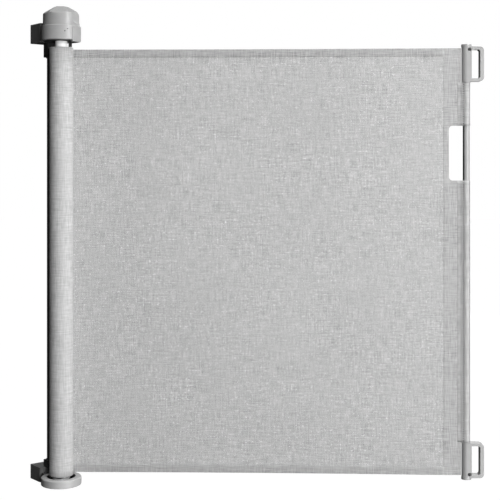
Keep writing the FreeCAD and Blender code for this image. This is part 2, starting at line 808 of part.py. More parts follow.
def build_handle():
    upper_screw_z = upper_clip_top - clip_screw_inset
    lower_screw_z = lower_clip_bottom + clip_screw_inset
    screws = [clip_screw(upper_screw_z), clip_screw(lower_screw_z)]
    plugs = [cyl(rod_bore, rod_top - rod_plug_length, rod_top, rod_x, 0),
             cyl(rod_bore, rod_bottom, rod_bottom + rod_plug_length, rod_x, 0)]
    save("mesh_panel", mesh_panel())
    save("mesh_band", mesh_band())
    save("upper_rod_sleeve", rod_sleeve(hand_hole_top, upper_clip_bottom))
    save("lower_rod_sleeve", rod_sleeve(lower_clip_top, hand_hole_bottom))
    save("handle_rod", without(tube(rod_radius, rod_bore, rod_bottom, rod_top, rod_x, 0), screws))
    save("rod_end_plugs", *[without(plug, screws) for plug in plugs])
    save("upper_end_clip", end_clip(
        upper_clip_bottom, upper_clip_top, upper_clip_top - clip_lip_height, upper_clip_top,
        upper_clip_bottom + upper_loop_rise, upper_clip_bottom - 1, rod_top, upper_screw_z))
    save("lower_end_clip", end_clip(
        lower_clip_bottom, lower_clip_top, lower_clip_bottom, lower_clip_bottom + clip_lip_height,
        lower_clip_top - loop_height, rod_bottom, lower_clip_top + 1, lower_screw_z))
    save("clip_screws", *screws)


os.makedirs("parts", exist_ok=True)
build_wall_side()
build_housing()
build_lock()
build_roll()
build_bottom()
build_handle()
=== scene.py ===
import json
import math

import bmesh
import bpy
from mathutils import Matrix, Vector


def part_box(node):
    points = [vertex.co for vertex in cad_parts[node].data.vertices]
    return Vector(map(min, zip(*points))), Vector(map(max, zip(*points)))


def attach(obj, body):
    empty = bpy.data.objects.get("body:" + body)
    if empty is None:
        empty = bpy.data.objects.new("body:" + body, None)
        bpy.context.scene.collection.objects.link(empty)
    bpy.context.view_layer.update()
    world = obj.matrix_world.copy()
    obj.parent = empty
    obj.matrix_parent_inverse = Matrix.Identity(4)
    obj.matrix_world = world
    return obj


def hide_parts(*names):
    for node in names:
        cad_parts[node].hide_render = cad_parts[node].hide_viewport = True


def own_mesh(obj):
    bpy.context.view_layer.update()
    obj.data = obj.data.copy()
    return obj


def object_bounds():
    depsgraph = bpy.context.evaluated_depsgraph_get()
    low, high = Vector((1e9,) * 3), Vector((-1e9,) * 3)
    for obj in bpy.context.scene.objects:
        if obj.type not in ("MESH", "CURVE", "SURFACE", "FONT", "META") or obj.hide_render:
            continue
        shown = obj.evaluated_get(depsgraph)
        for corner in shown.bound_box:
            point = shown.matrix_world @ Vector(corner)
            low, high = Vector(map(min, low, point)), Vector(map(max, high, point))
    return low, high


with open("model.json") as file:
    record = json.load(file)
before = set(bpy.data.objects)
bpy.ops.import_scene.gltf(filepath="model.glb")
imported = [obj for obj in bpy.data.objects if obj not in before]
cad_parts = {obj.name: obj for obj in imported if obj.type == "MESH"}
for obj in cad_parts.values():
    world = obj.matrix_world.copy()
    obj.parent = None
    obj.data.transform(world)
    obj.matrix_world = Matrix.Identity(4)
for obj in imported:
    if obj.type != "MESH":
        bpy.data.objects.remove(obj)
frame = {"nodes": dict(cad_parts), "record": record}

cad_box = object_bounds()
MM = 0.001

# ---- places, read from the frame, in metres ----
panel_low, panel_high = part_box("mesh_panel")
roll_low, roll_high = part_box("wound_mesh")
rod_low, rod_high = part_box("handle_rod")
housing_low, housing_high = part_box("lock_housing")

ROLL_RADIUS = roll_high.x
TUBE_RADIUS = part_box("core_tube")[1].x
MESH_BOTTOM = panel_low.z
MESH_TOP = panel_high.z
ROD_X = (rod_low.x + rod_high.x) / 2
ROD_RADIUS = (rod_high.x - rod_low.x) / 2
HOLE_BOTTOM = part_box("lower_rod_sleeve")[1].z
HOLE_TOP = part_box("upper_rod_sleeve")[0].z
UPPER_CLIP_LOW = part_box("upper_end_clip")[0].z
LOWER_CLIP_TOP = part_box("lower_end_clip")[1].z
SHEET_START = panel_low.x
BAND_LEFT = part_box("mesh_band")[0].x

# ---- sizes of the cloth and of the cup's mouth ----
HEM = 16 * MM  # how deep the sheet's edges are folded over
CLOTH = 0.6 * MM  # how thick one layer is
LEAVES_Y = ROLL_RADIUS + 0.8 * MM  # where the sheet leaves the back of the roll
CUP_MOUTH = 27.7 * MM  # the inside radius of the bottom cup
HOLE_LEFT = BAND_LEFT + 11 * MM
HOLE_CORNER = 7.5 * MM
BAND_THICK = 1.3 * MM  # both layers of the band together
POCKET_RADIUS = ROD_RADIUS + 0.7 * MM


def sheet_y(x):
    """How far back the sheet lies: it runs straight from the back of the roll to the rod."""
    return LEAVES_Y * (1 - x / ROD_X)


# ---- node helpers ----
class Nodes:
    """A short way to write a procedural material."""

    def __init__(self, name):
        self.material = bpy.data.materials.new(name)
        self.material.use_nodes = True
        self.tree = self.material.node_tree
        self.shader = self.tree.nodes["Principled BSDF"]

    def add(self, kind, inputs=None, **settings):
        node = self.tree.nodes.new(kind)
        for key, value in settings.items():
            setattr(node, key, value)
        for key, value in (inputs or {}).items():
            self.feed(node.inputs[key], value)
        return node

    def feed(self, socket, value):
        if isinstance(value, bpy.types.NodeSocket):
            self.tree.links.new(value, socket)
        else:
            socket.default_value = value

    def math(self, operation, a, b=0.0):
        node = self.add("ShaderNodeMath", {0: a, 1: b}, operation=operation)
        return node.outputs[0]

    def noise(self, vector, scale, detail=3.0, roughness=0.5):
        inputs = {"Vector": vector, "Scale": scale, "Detail": detail, "Roughness": roughness}
        return self.add("ShaderNodeTexNoise", inputs).outputs["Fac"]

    def remap(self, value, low, high, to_low, to_high):
        inputs = {"Value": value, "From Min": low, "From Max": high, "To Min": to_low, "To Max": to_high}
        return self.add("ShaderNodeMapRange", inputs).outputs["Result"]

    def grey(self, value):
        joined = self.add("ShaderNodeCombineColor", {"Red": value, "Green": value, "Blue": value})
        return joined.outputs["Color"]

    def bump(self, height, strength, distance):
        inputs = {"Height": height, "Strength": strength, "Distance": distance}
        return self.add("ShaderNodeBump", inputs).outputs["Normal"]

    def place(self):
        return self.add("ShaderNodeTexCoord").outputs["Object"]

    def finish(self, **inputs):
        for key, value in inputs.items():
            self.feed(self.shader.inputs[key.replace("_", " ")], value)
        return self.material


def moulded(name, tone, rough, grain=0.5, gloss=0.4, painted_shade_within=None):
    """Injection-moulded plastic: a fine spark-eroded grain, faint flow marks and a few dull scuffs.
    The inside of a part nearer its upright axis than the given radius is painted near black: painted shade
    in that recess."""
    n = Nodes(name)
    place = n.place()
    flow = n.noise(place, 9.0, 2.0)
    cloud = n.noise(place, 60.0, 4.0)
    tone_now = n.math("ADD", n.remap(flow, 0.3, 0.7, tone * 0.965, tone * 1.035),
                      n.remap(cloud, 0.3, 0.7, -0.012, 0.012))
    # painted shade: the tone falls towards black inside the given radius from the upright axis
    if painted_shade_within is not None:
        level = n.add("ShaderNodeVectorMath", {0: place, 1: (1.0, 1.0, 0.0)}, operation="MULTIPLY")
        from_axis = n.add("ShaderNodeVectorMath", {0: level.outputs["Vector"]}, operation="LENGTH")
        shown = n.remap(from_axis.outputs["Value"], painted_shade_within, painted_shade_within + 0.5 * MM, 0.03, 1.0)
        tone_now = n.math("MULTIPLY", tone_now, shown)
    scuff = n.remap(n.noise(place, 130.0, 6.0, 0.7), 0.62, 0.72, 0.0, 0.08)
    rough_now = n.math("ADD", n.remap(cloud, 0.3, 0.7, rough - 0.04, rough + 0.05), scuff)
    coarse = n.math("MULTIPLY", n.noise(place, 420.0, 2.0), 0.6)
    grain_height = n.math("ADD", n.noise(place, 1500.0, 2.0), coarse)
    return n.finish(Base_Color=n.grey(tone_now), Roughness=rough_now, Specular_IOR_Level=gloss,
                    Normal=n.bump(grain_height, grain, 0.12 * MM))


def coated(name, tone, rough):
    """Powder coat on steel: a soft orange peel with tiny specks."""
    n = Nodes(name)
    place = n.place()
    peel = n.noise(place, 520.0, 2.0)
    speck = n.remap(n.noise(place, 1900.0, 1.0), 0.66, 0.72, 0.0, 0.05)
    tone_now = n.math("ADD", n.remap(n.noise(place, 14.0, 3.0), 0.3, 0.7, tone * 0.95, tone * 1.05), speck)
    return n.finish(Base_Color=n.grey(tone_now),
                    Roughness=n.remap(peel, 0.3, 0.7, rough - 0.05, rough + 0.06),
                    Normal=n.bump(peel, 0.5, 0.1 * MM))


def metal(name, tone, rough, along=(1.0, 1.0, 1.0)):
    """Plated or drawn metal, with fine scratches stretched along one direction."""
    n = Nodes(name)
    stretched = n.add("ShaderNodeMapping", {"Vector": n.place(), "Scale": along}).outputs["Vector"]
    lines = n.noise(stretched, 900.0, 3.0)
    tone_now = n.remap(n.noise(n.place(), 40.0, 3.0), 0.3, 0.7, tone * 0.9, tone * 1.06)
    return n.finish(Base_Color=n.grey(tone_now), Metallic=1.0,
                    Roughness=n.remap(lines, 0.3, 0.7, rough - 0.07, rough + 0.09),
                    Normal=n.bump(lines, 0.25, 0.05 * MM))


SLUB = 0.085  # how much lighter or darker a thick or thin stretch of thread reads
SLUB_FINE = 430.0  # noise cells in a metre across the thread
SLUB_LONG = 34.0  # and along it
THREAD_WANDER = 1.1 * MM  # the full width over which a thread strays from a straight line
HOLE_HEIGHT = 0.12  # the mesh is open where its threads are lower than this


def slub_lines(n, flat, stretch):
    """Uneven threads: noise drawn out along one thread direction."""
    drawn = n.add("ShaderNodeMapping", {"Vector": flat, "Scale": stretch}).outputs["Vector"]
    return n.noise(drawn, 1.0, 2.0, 0.6)


def woven(name, tone, round_axis=None, radius=1.0, holes=True, pitch=2.3 * MM):
    """Coated polyester mesh: threads over and under each other, uneven slubs, small open holes, and painted
    shade where the threads lie low.
    A cloth that is wound about an upright axis takes its weave from the angle round that axis."""
    n = Nodes(name)
    parts = n.add("ShaderNodeSeparateXYZ", {"Vector": n.place()}).outputs
    if round_axis is None:
        across = parts["X"]
    else:
        side = n.math("SUBTRACT", parts["X"], round_axis)
        across = n.math("MULTIPLY", n.math("ARCTAN2", parts["Y"], side), radius)
    up = parts["Z"]
    flat = n.add("ShaderNodeCombineXYZ", {"X": across, "Y": up}).outputs["Vector"]
    wander = n.math("MULTIPLY", n.math("SUBTRACT", n.noise(flat, 55.0, 2.0), 0.5), THREAD_WANDER)
    turn = 2 * math.pi / pitch
    warp_phase = n.math("MULTIPLY", n.math("ADD", across, wander), turn)
    weft_phase = n.math("MULTIPLY", n.math("ADD", up, wander), turn)
    warp = n.remap(n.math("COSINE", warp_phase), -1.0, 1.0, 0.0, 1.0)
    weft = n.remap(n.math("COSINE", weft_phase), -1.0, 1.0, 0.0, 1.0)
    over = n.math("MULTIPLY", n.math("COSINE", n.math("MULTIPLY", warp_phase, 0.5)),
                  n.math("COSINE", n.math("MULTIPLY", weft_phase, 0.5)))
    height = n.math("MAXIMUM", n.math("ADD", warp, n.math("MULTIPLY", over, 0.35)),
                    n.math("SUBTRACT", weft, n.math("MULTIPLY", over, 0.35)))
    slub_up = slub_lines(n, flat, (SLUB_FINE, SLUB_LONG, 1.0))
    slub_across = slub_lines(n, flat, (SLUB_LONG, SLUB_FINE, 1.0))
    slub = n.math("ADD", n.remap(slub_up, 0.3, 0.7, -SLUB, SLUB),
                  n.remap(slub_across, 0.3, 0.7, -SLUB, SLUB))
    calm = n.remap(n.noise(flat, 9.0, 2.0), 0.35, 0.65, 0.6, 1.0)
    slub = n.math("MULTIPLY", slub, calm)
    patch = n.remap(n.noise(flat, 5.0, 3.0), 0.3, 0.7, -0.012, 0.012)
    # painted shade: the tone darkens where the threads lie low between crossings
    depth = n.remap(height, 0.3, 1.2, -0.08, 0.02)
    tone_now = n.math("ADD", n.math("ADD", n.math("ADD", tone, slub), patch), depth)
    made = dict(Base_Color=n.grey(tone_now), Roughness=n.remap(slub_across, 0.3, 0.7, 0.62, 0.8),
                Specular_IOR_Level=0.2, Sheen_Weight=0.1, Sheen_Roughness=0.5,
                Normal=n.bump(height, 0.5, 0.25 * MM))
    if holes:
        dots = n.add("ShaderNodeMapping", {"Vector": flat, "Scale": (230.0, 230.0, 1.0)}).outputs["Vector"]
        loose = n.math("MULTIPLY", n.remap(n.noise(dots, 1.0, 1.0), 0.60, 0.70, 0.0, 0.45), calm)
        open_at = n.math("ADD", HOLE_HEIGHT, loose)
        thread_high = n.math("MAXIMUM", warp, weft)
        cover = n.math("MULTIPLY", n.math("SUBTRACT", thread_high, open_at), 12.0)
        made["Alpha"] = n.math("MINIMUM", n.math("MAXIMUM", cover, 0.0), 1.0)
    return n.finish(**made)


def thread(name, tone):
    """Twisted sewing thread."""
    n = Nodes(name)
    finer = {"Vector": n.place(), "Scale": (900.0, 900.0, 900.0)}
    twist = n.add("ShaderNodeMapping", finer).outputs["Vector"]
    fibres = n.noise(twist, 1.6, 2.0)
    return n.finish(Base_Color=n.grey(n.remap(fibres, 0.3, 0.7, tone * 0.7, tone * 1.3)), Roughness=0.75,
                    Normal=n.bump(fibres, 0.4, 0.1 * MM))


GREY_PLASTIC = moulded("grey_moulded_plastic", 0.345, 0.36)
KNOB_PLASTIC = moulded("knob_moulded_plastic", 0.335, 0.33)
# the cup's mouth is painted near black inside: painted shade in the gap round the roll's end
CUP_PLASTIC = moulded("cup_moulded_plastic", 0.40, 0.36, painted_shade_within=CUP_MOUTH)
# the wall blocks' grey plastic made darker all over: painted shade for their faces turned from the lamps
BLOCK_PLASTIC_PAINTED_SHADE = moulded("block_plastic_painted_shade", 0.13, 0.44)
BLACK_PLASTIC = moulded("black_moulded_plastic", 0.035, 0.46)
NYLON = moulded("white_nylon", 0.86, 0.34, grain=0.2)
STEEL = metal("zinc_plated_steel", 0.55, 0.34)
SPRING_STEEL = metal("spring_steel", 0.42, 0.3)
ALUMINIUM = metal("drawn_aluminium", 0.7, 0.34, along=(1.0, 1.0, 0.03))
SPINE_PAINT = coated("spine_powder_coat", 0.1, 0.42)
ROD_PAINT = coated("rod_powder_coat", 0.36, 0.42)
MESH_SINGLE = woven("mesh_single_layer", 0.43)
MESH_DOUBLE = woven("mesh_double_layer", 0.415, holes=False)
MESH_HEM = woven("mesh_hem", 0.385, holes=False)
MESH_WOUND = woven("mesh_wound", 0.50, round_axis=0.0, radius=ROLL_RADIUS, holes=False)
MESH_POCKET = woven("mesh_pocket", 0.455, round_axis=ROD_X, radius=POCKET_RADIUS, holes=False)
DARK_THREAD = thread("dark_thread", 0.045)
PALE_THREAD = thread("pale_thread", 0.37)
GREY_THREAD = thread("grey_thread", 0.13)
WHITE_THREAD = thread("white_thread", 0.68)
DARK_MARK = moulded("dark_print", 0.06, 0.5, grain=0.1)
BLACK_STEEL = metal("black_oxide_steel", 0.06, 0.5)

# ---- CAD nodes keep their shape and get these finishes ----
BY_SLOT = {"grey_plastic": GREY_PLASTIC, "dark_plastic": BLOCK_PLASTIC_PAINTED_SHADE, "white_nylon": NYLON,
           "steel": STEEL, "painted_steel": SPINE_PAINT,
           "rod_coating": ROD_PAINT, "tube_aluminium": ALUMINIUM, "mesh_fabric": MESH_DOUBLE}
BY_NODE = {"lock_knob": KNOB_PLASTIC, "bottom_cup": CUP_PLASTIC,
           "roller_spring": SPRING_STEEL, "knob_return_spring": SPRING_STEEL,
           "upper_spine_clamp": BLACK_PLASTIC, "lower_spine_clamp": BLACK_PLASTIC,
           "housing_floor_plate": BLACK_PLASTIC, "clip_screws": BLACK_STEEL}
for entry in frame["record"]["subparts"]:
    cad_object = frame["nodes"][entry["node"]]
    finish = BY_NODE.get(entry["node"], BY_SLOT[entry["material_slot"]])
    cad_object.data.materials.clear()
    cad_object.data.materials.append(finish)


# ---- mesh helpers ----
def new_object(name, verts, faces, material, smooth=True):
    mesh = bpy.data.meshes.new(name)
    mesh.from_pydata([tuple(v) for v in verts], [], faces)
    mesh.materials.append(material)
    bm = bmesh.new()
    bm.from_mesh(mesh)
    bmesh.ops.recalc_face_normals(bm, faces=bm.faces)
    bm.to_mesh(mesh)
    bm.free()
    mesh.polygons.foreach_set("use_smooth", [smooth] * len(mesh.polygons))
    obj = bpy.data.objects.new(name, mesh)
    bpy.context.scene.collection.objects.link(obj)
    return obj


def ring_faces(rings, closed_ring=True, offset=0):
    """Quads between rings of equal length."""
    size = len(rings[0])
    faces = []
    for row in range(len(rings) - 1):
        for k in range(size if closed_ring else size - 1):
            nxt = (k + 1) % size
            a = offset + row * size
            b = a + size
            faces.append((a + k, a + nxt, b + nxt, b + k))
    return faces


def solid_from_rings(name, rings, material):
    """A closed solid lofted through rings, with a cap on each end."""
    size = len(rings[0])
    verts = [v for ring in rings for v in ring]
    faces = ring_faces(rings)
    faces.append(tuple(range(size)))
    faces.append(tuple(range(len(verts) - size, len(verts))))
    return new_object(name, verts, faces, material)


def shell_from_grid(name, layers, columns, rows, material):
    """A closed cloth shell through two layers of grid points, row by row, joined all round the edge."""
    wide = columns + 1
    count = wide * (rows + 1)
    faces = []
    for j in range(rows):
        for i in range(columns):
            a = j * wide + i
            quad = (a, a + 1, a + 1 + wide, a + wide)
            faces.append(quad)
            faces.append(tuple(count + v for v in reversed(quad)))
    rim = list(range(wide)) + [j * wide + columns for j in range(1, rows + 1)]
    rim += [rows * wide + i for i in range(columns - 1, -1, -1)]
    rim += [j * wide for j in range(rows - 1, 0, -1)]
    for a, b in zip(rim, rim[1:] + rim[:1]):
        faces.append((a, b, count + b, count + a))
    return new_object(name, layers[0] + layers[1], faces, material)


def stitches(name, frames, length, width, material):
    """Short raised stitches: one small rounded lozenge of thread at each (place, along, out)."""
    shape = ((-1.0, 0.25), (-0.72, 0.8), (0.0, 1.0), (0.72, 0.8), (1.0, 0.25))  # shares of length, of width
    sides = 6
    verts = []
    faces = []
    for place, along, out in frames:
        side = along.cross(out)
        rings = []
        for step, swell in shape:
            ring = []
            for k in range(sides):
                a = 2 * math.pi * k / sides
                push = side * (math.cos(a) * width * swell / 2) + out * (math.sin(a) * width * swell * 0.4)
                ring.append(place + along * (step * length / 2) + push)
            rings.append(ring)
        offset = len(verts)
        verts.extend(v for ring in rings for v in ring)
        faces.extend(ring_faces(rings, offset=offset))
        faces.append(tuple(range(offset, offset + sides)))
        faces.append(tuple(range(len(verts) - sides, len(verts))))
    return new_object(name, verts, faces, material)


def spaced(start, end, step):
    """Evenly spaced points on a line, about one step apart and half a step in from its ends."""
    start, end = Vector(start), Vector(end)
    count = max(1, int((end - start).length / step))
    return [start.lerp(end, (k + 0.5) / count) for k in range(count)]


# ---- the mesh sheet between the roll and the band ----
STITCH_GAP = 4.2 * MM
STITCH_LONG = 3.1 * MM
STITCH_WIDE = 0.75 * MM
RIPPLES = ((0.3, 0.23, 0.5), (0.22, 0.118, 2.1), (0.11, 0.061, 4.4))  # mm high, metres apart, phase
BOW = 4.6 * MM  # a slight bow to the back, which keeps most of the sheet off the roll at panel_slide's end


def ripple(x, z):
    """The sheet's bow and its slight tension folds, which die out at the roll and the band, and keep a
    quarter of their height at the sheet's top and bottom edges."""
    along = min(max((x - SHEET_START) / (BAND_LEFT - SHEET_START), 0.0), 1.0)
    fade = math.sin(math.pi * along) ** 0.6
    edge = min(z - MESH_BOTTOM, MESH_TOP - z) / (60 * MM)
    fade *= min(1.0, 0.25 + 0.75 * max(edge, 0.0))
    wave = 0.0
    for high, gap, phase in RIPPLES:
        wave += high * math.sin(2 * math.pi * (z + 0.05 * x) / gap + phase + 1.3 * x)
    return wave * fade * MM + BOW * math.sin(math.pi * along)


SHEET_COLUMNS = 190
SHEET_ROWS = 150
SHEET_UNDER_BAND = 4 * MM  # how far the sheet reaches in between the band's two layers


def build_panel():
    """The single layer of mesh between the roll and the band."""
    end = BAND_LEFT + SHEET_UNDER_BAND
    layers = []
    for face_side in (-0.5, 0.5):
        grid = []
        for j in range(SHEET_ROWS + 1):
            z = MESH_BOTTOM + (MESH_TOP - MESH_BOTTOM) * j / SHEET_ROWS
            for i in range(SHEET_COLUMNS + 1):
                x = SHEET_START + (end - SHEET_START) * i / SHEET_COLUMNS
                grid.append(Vector((x, sheet_y(x) + ripple(x, z) + face_side * CLOTH, z)))
        layers.append(grid)
    return shell_from_grid("panel_sheet", layers, SHEET_COLUMNS, SHEET_ROWS, MESH_SINGLE)


HEM_HALF = 1.0 * MM  # half the thickness of the folded hem
HEM_SHOULDER = 0.75 * MM  # the hem's inner edge falls away over this
HEM_WAIST = 0.92  # the hem is a little thinner between its fold and its seam
HEM_OPENS_OVER = 14  # columns from the roll over which the hem reaches its full thickness
HEM_OPEN_FROM = 0.45  # the share of its thickness that it starts with
PUCKER = 0.12 * MM  # how far the stitching draws the hem in and out


def hem_profile():
    """The hem's section as (y, z) points, z measured down from the rounded fold at the sheet's edge."""
    steps = 8
    profile = []
    for k in range(steps + 1):
        a = math.pi * k / steps
        profile.append((-math.cos(a) * HEM_HALF, math.sin(a) * HEM_HALF - HEM_HALF))
    front = [(HEM_HALF, -4 * MM), (HEM_HALF * HEM_WAIST, -9 * MM), (HEM_HALF, HEM_SHOULDER - HEM),
             (HEM_HALF * 0.7, 0.1 * MM - HEM), (CLOTH * 0.4, -HEM)]
    return profile + front + [(-y, z) for y, z in reversed(front)]


def build_hem(name, edge_z, inward):
    """A folded hem: the cloth turned over the sheet's edge, with a rounded fold."""
    profile = hem_profile()
    start = SHEET_START + 1.5 * MM
    end = BAND_LEFT + 2 * MM
    rings = []
    for i in range(SHEET_COLUMNS + 1):
        x = start + (end - start) * i / SHEET_COLUMNS
        open_up = min(1.0, HEM_OPEN_FROM + (1 - HEM_OPEN_FROM) * i / HEM_OPENS_OVER)
        ring = []
        for y, z in profile:
            height = edge_z + inward * -z
            pucker = PUCKER * math.sin(i * 1.7) * (1 if z < -10 * MM else 0.3)
            ring.append(Vector((x, sheet_y(x) + ripple(x, height) + y * open_up + pucker, height)))
        rings.append(ring)
    return solid_from_rings(name, rings, MESH_HEM)


def both_sides(x, z, proud, along, waves=0.0):
    """A stitch's place on the front and on the back of the sheet."""
    back = Vector((0, 1, 0))
    middle = Vector((x, sheet_y(x) + waves, z))
    return [(middle + back * (side * proud), along, back * side) for side in (-1, 1)]


def sheet_stitches(name, z, x0, x1, proud):
    """A level row of stitches along the sheet, on its front and its back."""
    way = Vector((1, sheet_y(1) - sheet_y(0), 0)).normalized()
    frames = []
    for p in spaced((x0, 0, z), (x1, 0, z), STITCH_GAP):
        frames += both_sides(p.x, z, proud, way, ripple(p.x, z))
    return stitches(name, frames, STITCH_LONG, STITCH_WIDE, PALE_THREAD)


# ---- the roll ----
TURNS = 7
STEPS_PER_TURN = 96
TURN_GAP = 0.93 * MM  # from one turn of the spiral to the next
ROLL_ROWS = 60
STEP_UP_OVER = 10  # steps over which the spiral rises to its last turn
ROLL_CLEAR_OF_CUP = 1.2 * MM
HEM_SWELL = 0.22 * MM  # how far the hem's extra layers lift the outer turn
OUTER_SINK = 0.25 * MM  # keeps the outer turn's swells inside the roll's radius, but for the hems
STITCH_SINK = 0.1 * MM  # how far stitches are set into a round piece


def spiral():
    """The wound sheet's middle line as (radius, angle) points. Its last turn keeps one radius."""
    outer = ROLL_RADIUS - CLOTH / 2
    inner = TUBE_RADIUS + CLOTH / 2 + 0.1 * MM
    last_turn = TURNS - 1
    line = []
    for k in range(TURNS * STEPS_PER_TURN + 1):
        turn = k / STEPS_PER_TURN
        radius = outer if turn > last_turn else min(inner + TURN_GAP * turn, outer - TURN_GAP)
        step_up = (turn - last_turn) * STEPS_PER_TURN / STEP_UP_OVER
        if -1 < step_up <= 0:
            radius += (outer - radius) * (step_up + 1)
        line.append((radius, math.pi / 2 - 2 * math.pi * (TURNS - turn)))
    return line


def outer_swell(angle, z):
    """How far the last turn rises and falls, as wound cloth does."""
    slow = 0.10 * MM * math.sin(3 * angle + 40 * z)
    return slow + 0.07 * MM * math.sin(5 * angle - 23 * z)


def build_roll():
    """The sheet wound on the tube as one long spiral, and the length of that spiral."""
    line = spiral()
    total = TURNS * STEPS_PER_TURN
    bottom = roll_low.z + ROLL_CLEAR_OF_CUP
    top = roll_high.z
    layers = []
    for side in (-0.5, 0.5):
        grid = []
        for j in range(ROLL_ROWS + 1):
            z = bottom + (top - bottom) * j / ROLL_ROWS
            hem = HEM_SWELL if z < bottom + HEM or z > top - HEM else 0.0
            for n, (radius, angle) in enumerate(line):
                r = radius + side * CLOTH
                if n > total - STEPS_PER_TURN:
                    r += outer_swell(angle, z) - OUTER_SINK + hem
                grid.append(Vector((r * math.cos(angle), r * math.sin(angle), z)))
        layers.append(grid)
    length = sum(radius for radius, _ in line) * 2 * math.pi / STEPS_PER_TURN
    return shell_from_grid("wound_sheet", layers, total, ROLL_ROWS, MESH_WOUND), length


def roll_stitches(name, z):
    """The hem's stitches, where they show on the outer turn of the roll."""
    count = int(2 * math.pi * ROLL_RADIUS / STITCH_GAP)
    frames = []
    for k in range(count):
        a = 2 * math.pi * k / count
        out = Vector((math.cos(a), math.sin(a), 0))
        place = out * (ROLL_RADIUS - STITCH_SINK) + Vector((0, 0, z))
        frames.append((place, Vector((-out.y, out.x, 0)), out))
    return stitches(name, frames, STITCH_LONG, STITCH_WIDE, PALE_THREAD)


# ---- the double band with the hand hole ----
CLIP_ROOM = 10.6 * MM  # from the rod's middle to the band's edge beside an end clip
CLIP_GAP = 0.3 * MM
BAND_SOFT = 0.4 * MM  # the rounding of the band's edges
BAND_ROWS = (2.5 * MM, 19 * MM, 22 * MM)  # rows of stitches, from the band's left edge
ROW_MARGIN = 3.2 * MM  # from the hand hole's edge to its stitches


def band_outline():
    """The band seen from the front, as (x, z) points, with the hand hole open towards the rod."""
    right = ROD_X - POCKET_RADIUS * 0.6
    clip_edge = ROD_X - CLIP_ROOM
    above_lower_clip = LOWER_CLIP_TOP + CLIP_GAP
    below_upper_clip = UPPER_CLIP_LOW - CLIP_GAP
    points = [(BAND_LEFT, MESH_BOTTOM), (clip_edge, MESH_BOTTOM), (clip_edge, above_lower_clip),
              (right, above_lower_clip), (right, HOLE_BOTTOM)]
    steps = 8
    corner = []
    for k in range(steps + 1):
        a = math.pi / 2 * k / steps
        corner.append((HOLE_CORNER * (1 - math.sin(a)), HOLE_CORNER * (1 - math.cos(a))))
    points += [(HOLE_LEFT + x, HOLE_BOTTOM + z) for x, z in corner]
    points += [(HOLE_LEFT + x, HOLE_TOP - z) for x, z in reversed(corner)]
    points += [(right, HOLE_TOP), (right, below_upper_clip), (clip_edge, below_upper_clip),
               (clip_edge, MESH_TOP), (BAND_LEFT, MESH_TOP)]
    return points


def build_band():
    """The band: its outline made solid with rounded edges, then laid along the sheet's slope."""
    curve = bpy.data.curves.new("band_outline", "CURVE")
    curve.dimensions = "2D"
    curve.fill_mode = "BOTH"
    spline = curve.splines.new("POLY")
    outline = band_outline()
    spline.points.add(len(outline) - 1)
    for point, (x, z) in zip(spline.points, outline):
        point.co = (x, z, 0, 1)
    spline.use_cyclic_u = True
    curve.extrude = BAND_THICK / 2 - BAND_SOFT
    curve.bevel_depth = BAND_SOFT
    curve.bevel_resolution = 3
    curve.offset = -BAND_SOFT
    holder = bpy.data.objects.new("band_holder", curve)
    bpy.context.scene.collection.objects.link(holder)
    bpy.context.view_layer.update()
    graph = bpy.context.evaluated_depsgraph_get()
    mesh = bpy.data.meshes.new_from_object(holder.evaluated_get(graph))
    bpy.data.objects.remove(holder)
    bm = bmesh.new()
    bm.from_mesh(mesh)
    bmesh.ops.remove_doubles(bm, verts=bm.verts, dist=0.005 * MM)
    for v in bm.verts:
        x, z, y = v.co
        v.co = (x, sheet_y(x) + y, z)
    bmesh.ops.recalc_face_normals(bm, faces=bm.faces)
    bm.to_mesh(mesh)
    bm.free()
    mesh.materials.clear()
    mesh.materials.append(MESH_DOUBLE)
    mesh.polygons.foreach_set("use_smooth", [False] * len(mesh.polygons))
    obj = bpy.data.objects.new("band_sheet", mesh)
    bpy.context.scene.collection.objects.link(obj)
    return obj


def band_stitch_rows():
    """Upright rows of stitches on the band, and a level row above and below the hand hole.
    The first upright row runs the whole height and the others are parted by the hand hole."""
    proud = BAND_THICK / 2 + 0.05 * MM
    up = Vector((0, 0, 1))
    low = MESH_BOTTOM + 3 * MM
    high = MESH_TOP - 3 * MM
    whole = ((low, high),)
    parted = ((low, HOLE_BOTTOM - 2 * ROW_MARGIN), (HOLE_TOP + 2 * ROW_MARGIN, high))
    frames = []
    for inset in BAND_ROWS:
        x = BAND_LEFT + inset
        stretches = whole if inset == BAND_ROWS[0] else parted
        for z0, z1 in stretches:
            for p in spaced((x, 0, z0), (x, 0, z1), STITCH_GAP):
                frames += both_sides(x, p.z, proud, up)
    upright = stitches("band_stitches", frames, STITCH_LONG, STITCH_WIDE, PALE_THREAD)
    frames = []
    right = ROD_X - POCKET_RADIUS - 1 * MM
    for z in (HOLE_TOP + ROW_MARGIN, HOLE_BOTTOM - ROW_MARGIN):
        for p in spaced((HOLE_LEFT + 4 * MM, 0, z), (right, 0, z), STITCH_GAP):
            frames += both_sides(p.x, z, proud, Vector((1, 0, 0)))
    level = stitches("hand_hole_stitches", frames, STITCH_LONG, STITCH_WIDE, PALE_THREAD)
    return [upright, level]


POCKET_NECK = ROD_X - 2.3 * POCKET_RADIUS
POCKET_TURN = math.radians(140)  # how far round the rod the pocket follows it, each way from its right side
POCKET_FLARE = 1.5  # how quickly the pocket thins towards its neck
POCKET_GAP = 0.2 * MM  # between a pocket and its end clip
CUFF = 0.1 * MM  # how much the pocket's ends stand out


def pocket_half(x):
    """Half the pocket's thickness where it narrows from the rod into the two layers of the band."""
    leaves = ROD_X + POCKET_RADIUS * math.cos(POCKET_TURN)
    share = (leaves - x) / (leaves - POCKET_NECK)
    lip = BAND_THICK / 2 + 0.08 * MM
    return lip + (POCKET_RADIUS * math.sin(POCKET_TURN) - lip) * (1 - share) ** POCKET_FLARE


